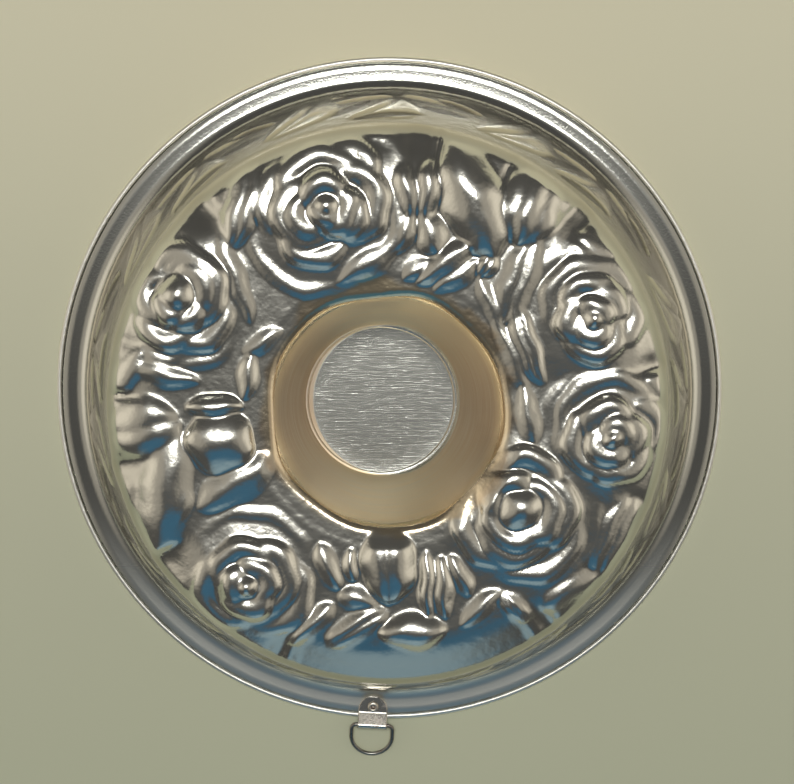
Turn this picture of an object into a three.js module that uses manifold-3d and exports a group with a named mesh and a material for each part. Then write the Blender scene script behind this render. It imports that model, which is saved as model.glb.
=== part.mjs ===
// Embossed ring cake pan, lying rim down, with a hanging ring riveted to its brim.
// Millimetres, +Z up. The origin is the middle of the rim, on the plane that the rim lies on.
import * as THREE from "three";
import { mergeVertices } from "three/addons/utils/BufferGeometryUtils.js";
import Module from "manifold-3d";

// Sheet and rolled rim
const rimDiameter = 250;
const sheet = 0.6;
const curlBore = 1;
const curlFacet = 36;
const curlFrom = 216;
const curlTo = 504;
const brimWidth = 11.8;
const clearance = 0.3;

// Wall and crown, whose outer part slopes down to the shoulder
const wallDraft = 17;
const footRadius = 3;
const crownHeight = 60;
const fallShare = 0.77;
const crownFall = 18;
const shoulderRadius = 7;

// Centre tube, a funnel from this side, with a low ridge round its mouth
const mouthDiameter = 81;
const mouthRadius = 2.5;
const ridgeRise = 1.5;
const ridgeWidth = 6;
const tubeFloorDiameter = 55;
const tubeFloorHeight = 23;
const tubeFloorRadius = 1.5;

// Embossing of the crown, which fades out towards the tube and the wall
const roseRise = 7.5;
const budRise = 7;
const leafRise = 4;
const petalStep = 3;
const petalWave = 0.07;
const tubeFade = 5;
const wallFade = 6;

// A rose's tiers of petals, from the outermost in: shares of its size and of its rise, and petals round it
const roseTiers = [
  { reach: 1, rise: 0.45, petals: 5 },
  { reach: 0.66, rise: 0.3, petals: 4 },
  { reach: 0.34, rise: 0.25, petals: 3 },
];

// Sprigs of leaves on the wall, by their turns in degrees
const sprigTurns = [196.8, 155.1, 114.5, 71.3, 26.2, -13.7, -51.1, -88.5, -125.9];
const sprigRise = 1.8;
const sprigSink = 0.2;
const sprigRows = 2;
const hollowRows = 1;
const sprigTaper = 0.7;

// A sprig's leaves: their ends as degrees clockwise from the sprig and shares up the wall,
// and their midrib's bow and half widths as shares of their length
const sprigLeaves = [
  { base: [10.9, 0.081], tip: [0, 0.651], bow: -0.107, left: 0.198, right: 0.347 },
  { base: [26.2, 0.26], tip: [16.9, 0.668], bow: -0.132, left: 0.198, right: 0.496 },
  { base: [25.6, 0.195], tip: [9.3, 0.277], bow: 0.132, left: 0.197, right: 0.23 },
  { base: [26.7, 0.163], tip: [42.8, 0.293], bow: -0.164, left: 0.295, right: 0.196 },
];

// Hanger
const hangerTurn = 267.1;
const rivetInset = 4.9;
const rivetShank = 2;
const rivetBore = 1.2;
const rivetHead = 4.1;
const rivetFlange = 0.4;
const strapWidth = 11;
const strapThickness = 0.5;
const strapOverlap = 4.1;
const ringWire = 1.5;
const ringBend = 2;
const ringSide = 2.8;
const barOutset = 1.85;
const ringJoint = 0.4;

// Fineness of the facets
const facetPitch = 5.2;
const plainFacets = 64;
const roundFacets = 24;
const foldFacets = 8;
const wireFacets = 8;
const wireSteps = 56;
const weld = 1e-4;
const cornerRoom = 0.49;

// Sizes that follow from the ones above
const rimRadius = rimDiameter / 2;
const beadRadius = curlBore / 2 + sheet;
const beadPlace = rimRadius - beadRadius;
const brimRise = rivetFlange + 2 * clearance;
const brimTop = brimRise + sheet;
const wallFoot = rimRadius - brimWidth;
const brimMiddle = brimRise + sheet / 2;
const wallLean = THREE.MathUtils.degToRad(wallDraft);
const ridgeFoot = mouthDiameter / 2 + ridgeWidth;
const wallTop = wallFoot - (crownHeight - brimMiddle) * Math.tan(wallLean);
const wallLength = (crownHeight - brimMiddle) / Math.cos(wallLean);
const wallMiddle = (wallFoot + wallTop) / 2;
const fallSlope = Math.tan(THREE.MathUtils.degToRad(crownFall));
const fallStart = THREE.MathUtils.lerp(ridgeFoot, wallTop, fallShare);
const crownReach = (wallTop - fallStart) / (1 - fallSlope * Math.tan(wallLean));
const crownEdge = fallStart + crownReach;
const edgeHeight = crownHeight - crownReach * fallSlope;

const wasm = await Module();
wasm.setup();

const toRadians = THREE.MathUtils.degToRad;
const smooth = THREE.MathUtils.smoothstep;

function solid(geometry) {
  const bare = new THREE.BufferGeometry().setAttribute("position", geometry.getAttribute("position"));
  bare.setIndex(geometry.index);
  const merged = mergeVertices(bare, weld);
  const vertProperties = new Float32Array(merged.getAttribute("position").array);
  const triVerts = new Uint32Array(merged.index.array);
  return new wasm.Manifold(new wasm.Mesh({ numProp: 3, vertProperties, triVerts }));
}

function geometryOf(manifold) {
  const { vertProperties, triVerts } = manifold.getMesh();
  const geometry = new THREE.BufferGeometry();
  geometry.setAttribute("position", new THREE.BufferAttribute(vertProperties, 3));
  geometry.setIndex(new THREE.BufferAttribute(triVerts, 1));
  return geometry;
}

function piece(name, geometry, colour, roughness) {
  const shown = geometry.index ? geometry.toNonIndexed() : geometry;
  shown.computeVertexNormals();
  const material = new THREE.MeshStandardMaterial({ color: colour, roughness, metalness: 1 });
  const mesh = new THREE.Mesh(shown, material);
  mesh.name = name;
  return mesh;
}

// Points of an arc, both ends included
function arc(centre, radius, from, to, steps) {
  const points = [];
  for (let i = 0; i <= steps; i += 1) {
    const angle = toRadians(from + ((to - from) * i) / steps);
    const x = centre.x + radius * Math.cos(angle);
    const y = centre.y + radius * Math.sin(angle);
    points.push(new THREE.Vector2(x, y));
  }
  return points;
}

// Points of the round that takes the place of a corner
function rounded(before, corner, after, radius, steps) {
  const back = before.clone().sub(corner).normalize();
  const on = after.clone().sub(corner).normalize();
  const half = Math.acos(THREE.MathUtils.clamp(back.dot(on), -1, 1)) / 2;
  const room = cornerRoom * Math.min(before.distanceTo(corner), after.distanceTo(corner));
  const reach = Math.min(radius / Math.tan(half), room);
  const fitted = reach * Math.tan(half);
  const middle = back.clone().add(on).setLength(fitted / Math.sin(half)).add(corner);
  const start = corner.clone().addScaledVector(back, reach).sub(middle);
  const end = corner.clone().addScaledVector(on, reach).sub(middle);
  const turn = THREE.MathUtils.euclideanModulo(end.angle() - start.angle() + Math.PI, 2 * Math.PI) - Math.PI;
  const first = THREE.MathUtils.radToDeg(start.angle());
  return arc(middle, fitted, first, first + THREE.MathUtils.radToDeg(turn), steps);
}

// Points along a straight stretch, without its ends
function between(start, end, pitch) {
  const steps = Math.max(1, Math.round(start.distanceTo(end) / pitch));
  const points = [];
  for (let i = 1; i < steps; i += 1) points.push(start.clone().lerp(end, i / steps));
  return points;
}

// The line moved sideways by a distance, to its left where that is positive
function offset(line, distance) {
  return line.map((point, i) => {
    const before = line[Math.max(i - 1, 0)];
    const after = line[Math.min(i + 1, line.length - 1)];
    const into = point.clone().sub(before).normalize();
    const out = after.clone().sub(point).normalize();
    if (i === 0) into.copy(out);
    if (i === line.length - 1) out.copy(into);
    const along = into.clone().add(out).normalize();
    const stretch = distance / along.dot(into);
    return new THREE.Vector2(point.x - along.y * stretch, point.y + along.x * stretch);
  });
}

// A place on the crown: degrees anticlockwise from +X, and how far across from the tube to the wall
function onCrown(turn, across) {
  const away = THREE.MathUtils.lerp(ridgeFoot, crownEdge, across);
  return new THREE.Vector2(away, 0).rotateAround(new THREE.Vector2(), toRadians(turn));
}

// A rose is three tiers of petals, each with a waved edge, the inner ones higher
function rose(turn, across, size, twist) {
  const middle = onCrown(turn, across);
  return (x, y) => {
    const away = Math.hypot(x - middle.x, y - middle.y);
    const heading = Math.atan2(y - middle.y, x - middle.x) - toRadians(twist);
    let height = 0;
    for (const tier of roseTiers) {
      const edge = size * tier.reach * (1 + petalWave * Math.cos(tier.petals * heading));
      height += roseRise * tier.rise * (1 - smooth(away, edge - petalStep, edge + petalStep / 2));
    }
    return height;
  };
}

// Height of a long form with pointed or round ends: a bud or a leaf, which points along its heading
function swelling(turn, across, length, width, heading, rise, sharpness) {
  const middle = onCrown(turn, across);
  const way = new THREE.Vector2(1, 0).rotateAround(new THREE.Vector2(), toRadians(heading));
  return (x, y) => {
    const along = ((x - middle.x) * way.x + (y - middle.y) * way.y) / (length / 2);
    const aside = ((y - middle.y) * way.x - (x - middle.x) * way.y) / (width / 2);
    const narrowing = Math.max(0, 1 - along * along) ** sharpness;
    if (narrowing === 0) return 0;
    return rise * narrowing * Math.max(0, 1 - (aside / narrowing) ** 2);
  };
}

const bud = (turn, across, length, width, heading) =>
  swelling(turn, across, length, width, heading, budRise, 0.5);
const leaf = (turn, across, length, width, heading) =>
  swelling(turn, across, length, width, heading, leafRise, 1);

const ornaments = [
  rose(106, 0.54, 27, 10),
  rose(150.5, 0.72, 20, 40),
  rose(25, 0.61, 22, 75),
  rose(-6.5, 0.63, 21, 20),
  rose(-36.5, 0.19, 22, 60),
  rose(231, 0.62, 24, 35),
  bud(68, 0.66, 42, 21, 113),
  bud(188, 0.24, 30, 22, 176),
  bud(270.5, 0.12, 30, 21, 95),
  leaf(56, 0.83, 30, 24, 60),
  leaf(183, 0.76, 26, 22, 5),
  leaf(197, 0.74, 30, 14, 67),
  leaf(277, 0.62, 25, 15, 0),
  leaf(262, 0.59, 25, 11, 32),
  leaf(251, 0.65, 22, 10, 43),
  leaf(295, 0.59, 20, 9, 41),
  leaf(303, 0.7, 18, 9, -45),
  leaf(98, 0.1, 26, 11, 32),
  leaf(68, 0.18, 26, 11, 35),
  leaf(45, 0.35, 33, 14, 69),
  leaf(26, 0.14, 31, 11, -71),
  leaf(124, 0.8, 34, 13, 76),
  leaf(204, 0.13, 23, 10, 34),
  leaf(80, 0.6, 22, 10, 75),
  leaf(85, 0.57, 20, 9, 110),
  leaf(288, 0.36, 24, 11, 92),
  leaf(249, 0.23, 20, 10, -66),
];

// How far the embossing lifts the plain crown, which fades out at the tube and down the wall
function lift(x, y) {
  const away = Math.hypot(x, y);
  const offTube = smooth(away, ridgeFoot - tubeFade / 5, ridgeFoot + (tubeFade * 4) / 5);
  const offWall = 1 - smooth(away, crownEdge - wallFade, crownEdge + wallFade / 6);
  let height = 0;
  for (const ornament of ornaments) height = Math.max(height, ornament(x, y));
  return height * offTube * offWall;
}

// Middle of the sheet from the axis to the rolled edge, as rings: x is the radius and y the height
function sheetLine() {
  const at = (x, y) => new THREE.Vector2(x, y);
  const axis = at(0, tubeFloorHeight);
  const floorEdge = at(tubeFloorDiameter / 2, tubeFloorHeight);
  const mouth = at(mouthDiameter / 2, crownHeight + ridgeRise);
  const ridge = at(ridgeFoot, crownHeight);
  const fall = at(fallStart, crownHeight);
  const edge = at(crownEdge, edgeHeight);
  const foot = at(wallFoot, brimMiddle);
  const curlMiddle = beadRadius - sheet / 2;
  const bead = at(beadPlace, curlMiddle * Math.cos(toRadians(curlFacet / 2)) + sheet / 2);
  const curl = arc(bead, curlMiddle, curlFrom, curlTo, (curlTo - curlFrom) / curlFacet);
  const brimEnd = at(curl[0].x - curlMiddle, brimMiddle);
  const shoulder = rounded(fall, edge, foot, shoulderRadius, 3);
  const rings = [
    axis,
    ...rounded(axis, floorEdge, mouth, tubeFloorRadius, 1),
    ...rounded(floorEdge, mouth, ridge, mouthRadius, 2),
    ridge,
    ...between(ridge, fall, facetPitch),
    fall,
    ...between(fall, shoulder[0], facetPitch),
    ...shoulder,
    ...rounded(edge, foot, brimEnd, footRadius, 2),
    brimEnd,
    ...curl,
  ];
  return rings;
}

// Strip of triangles between two rings of points that may differ in number
function stitch(triangles, low, high) {
  let i = 0;
  let j = 0;
  while (i < low.count || j < high.count) {
    const first = low.start + (i % low.count);
    const second = high.start + (j % high.count);
    const lowNext = (i + 1) / low.count;
    const highNext = (j + 1) / high.count;
    if (high.count === 1 || (low.count > 1 && lowNext <= highNext && i < low.count)) {
      triangles.push(first, low.start + ((i + 1) % low.count), second);
      i += 1;
      if (high.count === 1 && i === low.count) j = high.count;
    } else {
      triangles.push(first, high.start + ((j + 1) % high.count), second);
      j += 1;
      if (low.count === 1 && j === high.count) i = low.count;
    }
  }
}

// The pan: both faces of the sheet as rings of points, closed at the rolled edge
function panShell() {
  const line = sheetLine();
  const embossed = (point) => point.y > edgeHeight - shoulderRadius && point.x > mouthDiameter / 2;
  const facets = (point) => {
    if (point.x === 0) return 1;
    return embossed(point) ? Math.round((2 * Math.PI * point.x) / facetPitch) : plainFacets;
  };
  const positions = [];
  const addRing = (point, plan) => {
    const count = facets(plan);
    const start = positions.length / 3;
    for (let k = 0; k < count; k += 1) {
      const heading = (2 * Math.PI * k) / count;
      const rise = lift(plan.x * Math.cos(heading), plan.x * Math.sin(heading));
      positions.push(point.x * Math.cos(heading), point.x * Math.sin(heading), point.y + rise);
    }
    return { start, count };
  };
  const outside = offset(line, sheet / 2).map((point, i) => addRing(point, line[i]));
  const inside = offset(line, -sheet / 2).map((point, i) => addRing(point, line[i]));
  const rings = [...outside, ...inside.reverse()];
  const triangles = [];
  for (let i = 1; i < rings.length; i += 1) stitch(triangles, rings[i], rings[i - 1]);
  const hole = rivetHole(brimTop + beadRadius).rotateZ(toRadians(hangerTurn));
  const plain = skin(positions, triangles).subtract(solid(hole));
  const leaves = (from, rows) =>
    wasm.Manifold.union(sprigTurns.flatMap((turn) => sprigLeaves.map((leaf) => wallLeaf(turn, leaf, from, rows))));
  return geometryOf(plain.add(leaves(sheet / 2, sprigRows)).subtract(leaves(-sheet / 2, hollowRows)));
}

function skin(positions, triangles) {
  const geometry = new THREE.BufferGeometry();
  geometry.setAttribute("position", new THREE.Float32BufferAttribute(positions, 3));
  geometry.setIndex(triangles);
  return solid(geometry);
}

// A leaf pressed out of the wall, with a raised midrib; its edges lie on the side of the sheet at from
function wallLeaf(turn, leaf, from, rows) {
  const along = ([degrees, share]) => new THREE.Vector2(toRadians(degrees) * wallMiddle, share * wallLength);
  const base = along(leaf.base);
  const run = along(leaf.tip).sub(base);
  const aside = new THREE.Vector2(-run.y, run.x);
  const positions = [];
  const put = (at, out) => {
    const away = wallFoot - at.y * Math.sin(wallLean) + (from + out) * Math.cos(wallLean);
    const heading = toRadians(turn) - at.x / wallMiddle;
    const up = brimMiddle + at.y * Math.cos(wallLean) + (from + out) * Math.sin(wallLean);
    positions.push(away * Math.cos(heading), away * Math.sin(heading), up);
  };
  const rings = [];
  for (let i = 0; i <= rows + 1; i += 1) {
    const part = i / (rows + 1);
    const hump = 4 * part * (1 - part);
    const width = hump ** sprigTaper;
    const midrib = base.clone().addScaledVector(run, part).addScaledVector(aside, leaf.bow * hump);
    rings.push({ start: positions.length / 3, count: hump === 0 ? 1 : 4 });
    if (hump > 0) {
      put(midrib, sprigRise * width);
      put(midrib.clone().addScaledVector(aside, leaf.left * width), -sprigSink);
      put(midrib, -2 * sprigSink);
      put(midrib.clone().addScaledVector(aside, -leaf.right * width), -sprigSink);
    } else {
      put(midrib, -sprigSink);
    }
  }
  const triangles = [];
  for (let i = 1; i < rings.length; i += 1) stitch(triangles, rings[i - 1], rings[i]);
  return skin(positions, triangles);
}

// A round plug through the brim and the strap, in the hanger's own frame with +X outwards
function rivetHole(height) {
  const plug = new THREE.CylinderGeometry(1, 1, 2 * height, roundFacets);
  const radius = rivetShank / 2 + clearance;
  plug.scale(radius, 1, radius).rotateX(Math.PI / 2);
  return plug.translate(rimRadius - rivetInset, 0, 0);
}

// The hanger's heights, from the brim up, and the place of the ring's bar
const lowerLayer = brimTop + clearance + strapThickness / 2;
const upperLayer = lowerLayer + strapThickness + clearance;
const overBead = 2 * beadRadius + clearance + strapThickness / 2;
const foldRadius = ringWire / 2 + clearance + strapThickness / 2;
const barPlace = rimRadius + barOutset;
const barHeight = overBead + foldRadius;
const rivetPlace = rimRadius - rivetInset;
const strapTop = upperLayer + strapThickness / 2;

// The strap: a strip over the brim and the bead, round the ring's bar and back to the rivet
function hangerStrap() {
  const at = (x, y) => new THREE.Vector2(x, y);
  const end = rivetPlace - strapOverlap;
  const line = [
    at(end, lowerLayer),
    at(beadPlace - beadRadius - clearance, lowerLayer),
    at(beadPlace - clearance, overBead),
    ...arc(at(barPlace, barHeight), foldRadius, 270, 450, foldFacets),
    at(rivetPlace + rivetHead / 2 + clearance / 2, upperLayer),
    at(end, upperLayer),
  ];
  const outline = [...offset(line, strapThickness / 2), ...offset(line, -strapThickness / 2).reverse()];
  const section = new THREE.ExtrudeGeometry(new THREE.Shape(outline), { depth: strapWidth, bevelEnabled: false });
  section.translate(0, 0, -strapWidth / 2).rotateX(Math.PI / 2);

  const plan = new THREE.Shape();
  const half = strapWidth / 2;
  const tall = barHeight + 2 * foldRadius;
  plan.moveTo(barPlace + 2 * foldRadius, -half - clearance);
  plan.lineTo(barPlace + 2 * foldRadius, half + clearance);
  plan.lineTo(end + half, half + clearance);
  plan.absellipse(end + half, 0, half, half + clearance, Math.PI / 2, (3 * Math.PI) / 2, false, 0);
  const round = new THREE.ExtrudeGeometry(plan, { depth: tall, bevelEnabled: false, curveSegments: roundFacets / 2 });
  return geometryOf(solid(section).intersect(solid(round)).subtract(solid(rivetHole(tall))));
}

// The rivet: a tube flared under the brim and rolled over on top of the strap
function hangerRivet() {
  const shank = rivetShank / 2;
  const bore = rivetBore / 2;
  const head = rivetHead / 2;
  const under = brimRise - clearance;
  const over = strapTop + clearance;
  const outline = [
    [bore, under - rivetFlange],
    [head, under - rivetFlange],
    [head, under],
    [shank, under],
    [shank, over],
    [head, over],
    [head, over + rivetFlange / 2],
    [(head + bore) / 2, over + 1.5 * rivetFlange],
    [bore, over + rivetFlange],
    [bore, under - rivetFlange],
  ].map(([x, y]) => new THREE.Vector2(x, y));
  const geometry = new THREE.LatheGeometry(outline, roundFacets);
  return geometry.rotateX(Math.PI / 2).translate(rivetPlace, 0, 0);
}

// The ring: wire bent to a D, its bar in the fold and its butt joint at the middle of the bar
const ringHalf = strapWidth / 2 + clearance + ringBend;
const ringDrop = ringBend + ringSide + ringHalf;
const ringRest = Math.asin((barHeight - ringWire / 2 - clearance / 2) / ringDrop);

function hangerRing() {
  const straight = ringHalf - ringBend;
  const line = new THREE.CurvePath();
  const run = (x0, y0, x1, y1) =>
    line.add(new THREE.LineCurve3(new THREE.Vector3(x0, y0, 0), new THREE.Vector3(x1, y1, 0)));
  const bend = (x, y, radius, from, to) => line.add(new RoundBend(x, y, radius, toRadians(from), toRadians(to)));
  run(0, ringJoint / 2, 0, straight);
  bend(ringBend, straight, ringBend, 180, 90);
  run(ringBend, ringHalf, ringBend + ringSide, ringHalf);
  bend(ringBend + ringSide, 0, ringHalf, 90, -90);
  run(ringBend + ringSide, -ringHalf, ringBend, -ringHalf);
  bend(ringBend, -straight, ringBend, 270, 180);
  run(0, -straight, 0, -ringJoint / 2);
  const wire = new THREE.Shape().absarc(0, 0, ringWire / 2, 0, 2 * Math.PI);
  const bent = { steps: wireSteps, extrudePath: line, curveSegments: wireFacets / 2 };
  return new THREE.ExtrudeGeometry(wire, bent);
}

// An arc in the plane of the ring
class RoundBend extends THREE.Curve {
  constructor(x, y, radius, from, to) {
    super();
    Object.assign(this, { x, y, radius, from, to });
  }

  getPoint(t, target = new THREE.Vector3()) {
    const angle = THREE.MathUtils.lerp(this.from, this.to, t);
    return target.set(this.x + this.radius * Math.cos(angle), this.y + this.radius * Math.sin(angle), 0);
  }
}

const polished = 0xc9c3b4;
const plated = 0x9a968c;

const pan = new THREE.Group();
pan.add(piece("pan_shell", panShell(), polished, 0.2));

const hanger = new THREE.Group();
hanger.rotation.z = toRadians(hangerTurn);
hanger.add(piece("hanger_strap", hangerStrap(), plated, 0.25));
hanger.add(piece("hanger_rivet", hangerRivet(), plated, 0.3));
const ring = piece("hanger_ring", hangerRing(), plated, 0.25);
ring.position.set(barPlace, 0, barHeight);
ring.rotation.y = ringRest;
hanger.add(ring);
pan.add(hanger);

export default pan;
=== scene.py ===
"""Looks of an embossed ring cake pan, which lies rim down with its hanging ring out flat."""

import math
from typing import NamedTuple

import bmesh
import bpy
import numpy as np
from bpy.props import FloatProperty, FloatVectorProperty, IntProperty, PointerProperty
from mathutils import Matrix, Vector


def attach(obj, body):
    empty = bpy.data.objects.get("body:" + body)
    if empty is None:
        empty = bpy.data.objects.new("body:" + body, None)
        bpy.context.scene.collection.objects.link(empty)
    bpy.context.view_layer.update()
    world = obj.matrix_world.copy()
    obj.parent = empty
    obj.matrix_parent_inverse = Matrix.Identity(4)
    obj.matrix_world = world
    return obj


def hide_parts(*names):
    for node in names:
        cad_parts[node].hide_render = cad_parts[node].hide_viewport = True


bl_info = {
    "name": "Embossed cake pan",
    "version": (1, 0, 0),
    "blender": (4, 5, 0),
    "location": "3D View > Sidebar > Cake pan",
    "description": "Builds the looks of an embossed ring cake pan on its packed frame",
    "category": "Object",
}

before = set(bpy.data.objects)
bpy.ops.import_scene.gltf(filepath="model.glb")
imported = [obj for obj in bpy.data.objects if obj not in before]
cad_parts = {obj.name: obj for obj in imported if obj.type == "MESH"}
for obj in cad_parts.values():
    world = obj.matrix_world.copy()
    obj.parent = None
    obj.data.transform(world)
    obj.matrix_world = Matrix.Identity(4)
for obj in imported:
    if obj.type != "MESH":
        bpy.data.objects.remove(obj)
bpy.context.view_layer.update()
IMAGE_WIDTH = 794
MM = 0.001


def setting(kind, **limits):
    """A maker of one kind of setting that a user may change."""

    def make(name, description, default):
        return kind(name=name, description=description, default=default, **limits)

    return make


count = setting(IntProperty, min=12)
number = setting(FloatProperty)
length = setting(FloatProperty, unit="LENGTH", precision=5)
angle = setting(FloatProperty, unit="ROTATION")
share = setting(FloatProperty, subtype="FACTOR", min=0, max=1)
colour = setting(FloatVectorProperty, subtype="COLOR", min=0, max=1)
place = setting(FloatVectorProperty, subtype="TRANSLATION")


class PanSizes(bpy.types.PropertyGroup):
    """Sizes of the pressed sheet, along its middle."""

    rim_diameter: length("Rim diameter", "Across the outside of the rolled rim", 0.250)
    sheet: length("Sheet", "Thickness of the sheet", 0.0006)
    curl_bore: length("Curl bore", "Clear width inside the rolled rim", 0.001)
    brim_width: length("Brim width", "From the foot of the wall to the outside of the rim", 0.0118)
    brim_height: length("Brim height", "Middle of the brim above the table", 0.0013)
    wall_draft: angle("Wall draft", "How far the wall leans inwards", math.radians(17))
    foot_round: length("Foot rounding", "Rounding between wall and brim", 0.006)
    crown_height: length("Crown height", "Plain part of the crown above the table", 0.060)
    fall_diameter: length("Fall diameter", "Where the crown starts to slope down outwards", 0.168)
    crown_fall: angle("Crown fall", "How far it slopes down there", math.radians(20))
    fall_round: length("Fall rounding", "Rounding where it starts to slope", 0.030)
    shoulder_round: length("Shoulder rounding", "Rounding between crown and wall", 0.007)
    mouth_diameter: length("Mouth diameter", "Across the crest of the ridge round the tube", 0.081)
    mouth_round: length("Mouth rounding", "Rounding of that crest", 0.0025)
    ridge_rise: length("Ridge rise", "How far the ridge stands above the crown", 0.0010)
    ridge_width: length("Ridge width", "From the crest of the ridge to its foot", 0.006)
    ridge_round: length("Ridge rounding", "Rounding at the foot of the ridge", 0.010)
    floor_diameter: length("Disc diameter", "Across the flat disc that closes the tube", 0.055)
    floor_height: length("Disc height", "The disc above the table", 0.023)
    floor_round: length("Disc rounding", "Roundings at the edge of the disc", 0.0005)
    step_width: length("Step width", "Ledge round the disc", 0.0011)
    step_rise: length("Step rise", "How far the ledge stands above the disc", 0.0005)
    floor_shift: length("Disc shift", "How far the disc sits off the axis, towards -X", 0.0026)
    facets: count("Facets", "Steps round the plain zones of the pan", 252)


class ReliefSizes(bpy.types.PropertyGroup):
    """Sizes of the embossing."""

    petal_round: length("Petal rounding", "Radius of a petal's face, across it", 0.0062)
    petal_crest: length("Petal crest", "From a petal's edge in to the crest of its face", 0.0022)
    lip_round: length("Lip rounding", "Radius of a petal's edge", 0.0012)
    lip_drop: length("Lip drop", "How far out a petal's edge keeps rounding", 0.0011)
    crease: length("Crease rounding", "Over how much height two forms blend where they meet", 0.0005)
    leaf_crease: length("Leaf crease", "Over how much height a leaf blends into the crown", 0.0014)
    wander: length("Wander", "How far outlines stray from true curves", 0.0004)
    mouth_stray: length("Mouth stray", "How far the tube's mouth strays from a circle", 0.0010)
    shoulder_dip: length("Shoulder dip", "How far the shoulder dips between the forms", 0.0085)
    wall_rise: length("Wall leaf rise", "How far the leaves stand out of the wall", 0.0014)


class HangerSizes(bpy.types.PropertyGroup):
    """Sizes of the hanger, in its own frame with +X outwards."""

    turn: angle("Turn", "Where on the rim the hanger sits", math.radians(267.1))
    rivet_place: length("Rivet place", "From the axis of the pan to the rivet", 0.1201)
    strap_width: length("Strap width", "Across the strap", 0.011)
    strap_thickness: length("Strap thickness", "Thickness of the strap", 0.0005)
    strap_overlap: length("Strap overlap", "From the rivet to the round end of the strap", 0.0041)
    lower_layer: length("Lower layer", "Middle of the strap's lower layer", 0.00215)
    upper_layer: length("Upper layer", "Middle of the strap's upper layer", 0.00295)
    over_bead: length("Over the bead", "Middle of the lower layer on the bead", 0.00275)
    bar_place: length("Bar place", "From the axis of the pan to the ring's bar", 0.12685)
    bar_height: length("Bar height", "The ring's bar above the table", 0.00405)
    fold_radius: length("Fold radius", "Middle of the strap round the bar", 0.0013)
    wire: length("Wire", "Diameter of the ring's wire", 0.0015)
    ring_half: length("Half ring", "Half the ring's width between wire middles", 0.0078)
    ring_bend: length("Ring bend", "Bend at each end of the bar", 0.002)
    ring_side: length("Ring side", "Straight side of the ring", 0.0028)
    ring_joint: length("Ring joint", "Open butt joint in the middle of the bar", 0.0004)
    ring_rest: angle("Ring rest", "How far the ring hangs down at rest", math.radians(14.48))


class Finishes(bpy.types.PropertyGroup):
    """Colours and gloss of the metals."""

    aluminium: colour("Aluminium", "Polished sheet", (0.81, 0.805, 0.75))
    # Heat tint of the tube, painted as a shaded copy, darker brown at the sides, and a lit copy, lighter gold
    # at the back and front, which also paints the highlight on the tube's lip.
    tint_shaded: colour("Warm aluminium", "Heat-tinted sheet in the tube", (0.60, 0.48, 0.36))
    tint_lit: colour("Gold aluminium", "Tint at the back and front of the tube", (0.98, 0.84, 0.60))
    # The wall's sheet is darker and warmer than the crown's.
    aluminium_wall: colour("Wall aluminium", "Sheet of the wall, less polished", (0.70, 0.66, 0.57))
    # Painted shade: the dark sheet laid in the recesses and creases of crown and wall, where shade and dark
    # reflections fall.
    tarnish: colour("Tarnish", "Sheet in the recesses, where no polish reaches", (0.11, 0.10, 0.09))
    aluminium_dull: colour("Dull aluminium", "Matt brim and disc", (0.72, 0.73, 0.69))
    # Painted highlight: the rolled rim's sheet is brighter than the rest, for the bright line along it.
    bead_highlight: colour("Bead aluminium", "Rolled rim, rubbed bright", (0.93, 0.92, 0.87))
    bead_matt: share("Bead matt", "Roughness of the rolled rim", 0.40)
    polish: share("Polish", "Roughness of crown and wall", 0.17)
    satin: share("Satin", "Roughness of the tube", 0.46)
    matt: share("Matt", "Roughness of the brim", 0.12)
    scraped: share("Scraped", "Roughness of the brim next to the ring", 0.42)
    disc_matt: share("Disc matt", "Roughness of the disc", 0.25)
    plate: colour("Plate", "Plated strap", (0.62, 0.60, 0.56))
    rivet: colour("Rivet", "Plated rivet", (0.70, 0.66, 0.58))
    rust: colour("Rust", "Rust in the rivet and in worn patches", (0.16, 0.06, 0.03))
    wire: colour("Wire", "Darkened wire of the ring", (0.31, 0.30, 0.28))


class StageSettings(bpy.types.PropertyGroup):
    """Floor, light and camera."""

    # Painted shade: the floor is pale at the back and darker and greener at the front, where less light
    # falls.
    floor: colour("Floor", "Pale floor at the back", (0.95, 0.91, 0.70))
    floor_front_shaded: colour("Front of the floor", "Pale floor at the front", (0.58, 0.61, 0.46))
    room: colour("Room", "Dim room that the metal mirrors", (0.076, 0.073, 0.068))
    key: colour("Key light", "Colour of the soft light at the back", (1.0, 0.98, 0.92))
    key_level: number("Key level", "Brightness of that light", 8.5)
    key_place: number("Key place", "Sine of the angle from the zenith to its middle", 0.305)
    key_wide: number("Key width", "Sine of half its width", 0.25)
    key_deep: number("Key depth", "Sine of half its depth", 0.157)
    key_blur: number("Key blur", "Share of its size over which it fades", 0.3)
    halo_level: number("Halo level", "Brightness round that light", 0.2)
    halo_reach: number("Halo reach", "How many times as wide its glow is", 2.6)
    side: colour("Side light", "Colour of the light from each side", (1.0, 0.90, 0.74))
    side_level: number("Side level", "Brightness of the light from each side", 0.45)
    side_glow: number("Side glow", "Brightness of the walls on each side", 0.28)
    side_glow_way: place("Side glow way", "Where the wall on the right is", (0.80, 0.05, 0.60))
    side_way: place("Side way", "Where the light from the right comes from", (0.96, 0.10, 0.24))
    fill: colour("Fill light", "Colour of the blue light at the front", (0.045, 0.127, 0.205))
    fill_way: place("Fill way", "Where the blue light comes from", (0.0, -0.75, 0.66))
    front: colour("Front light", "Colour of the pale light low at the front", (0.25, 0.35, 0.40))
    front_way: place("Front way", "Where the pale light comes from", (0.0, -0.97, 0.24))
    camera: place("Camera", "Where the camera is", (0.0084, 0.0729, 0.700))
    aim: place("Aim", "The point in the middle of the picture", (0.0030, 0.0005, 0.0))
    scale: number("Scale", "Pixels per metre at the rim", 2656)


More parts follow.
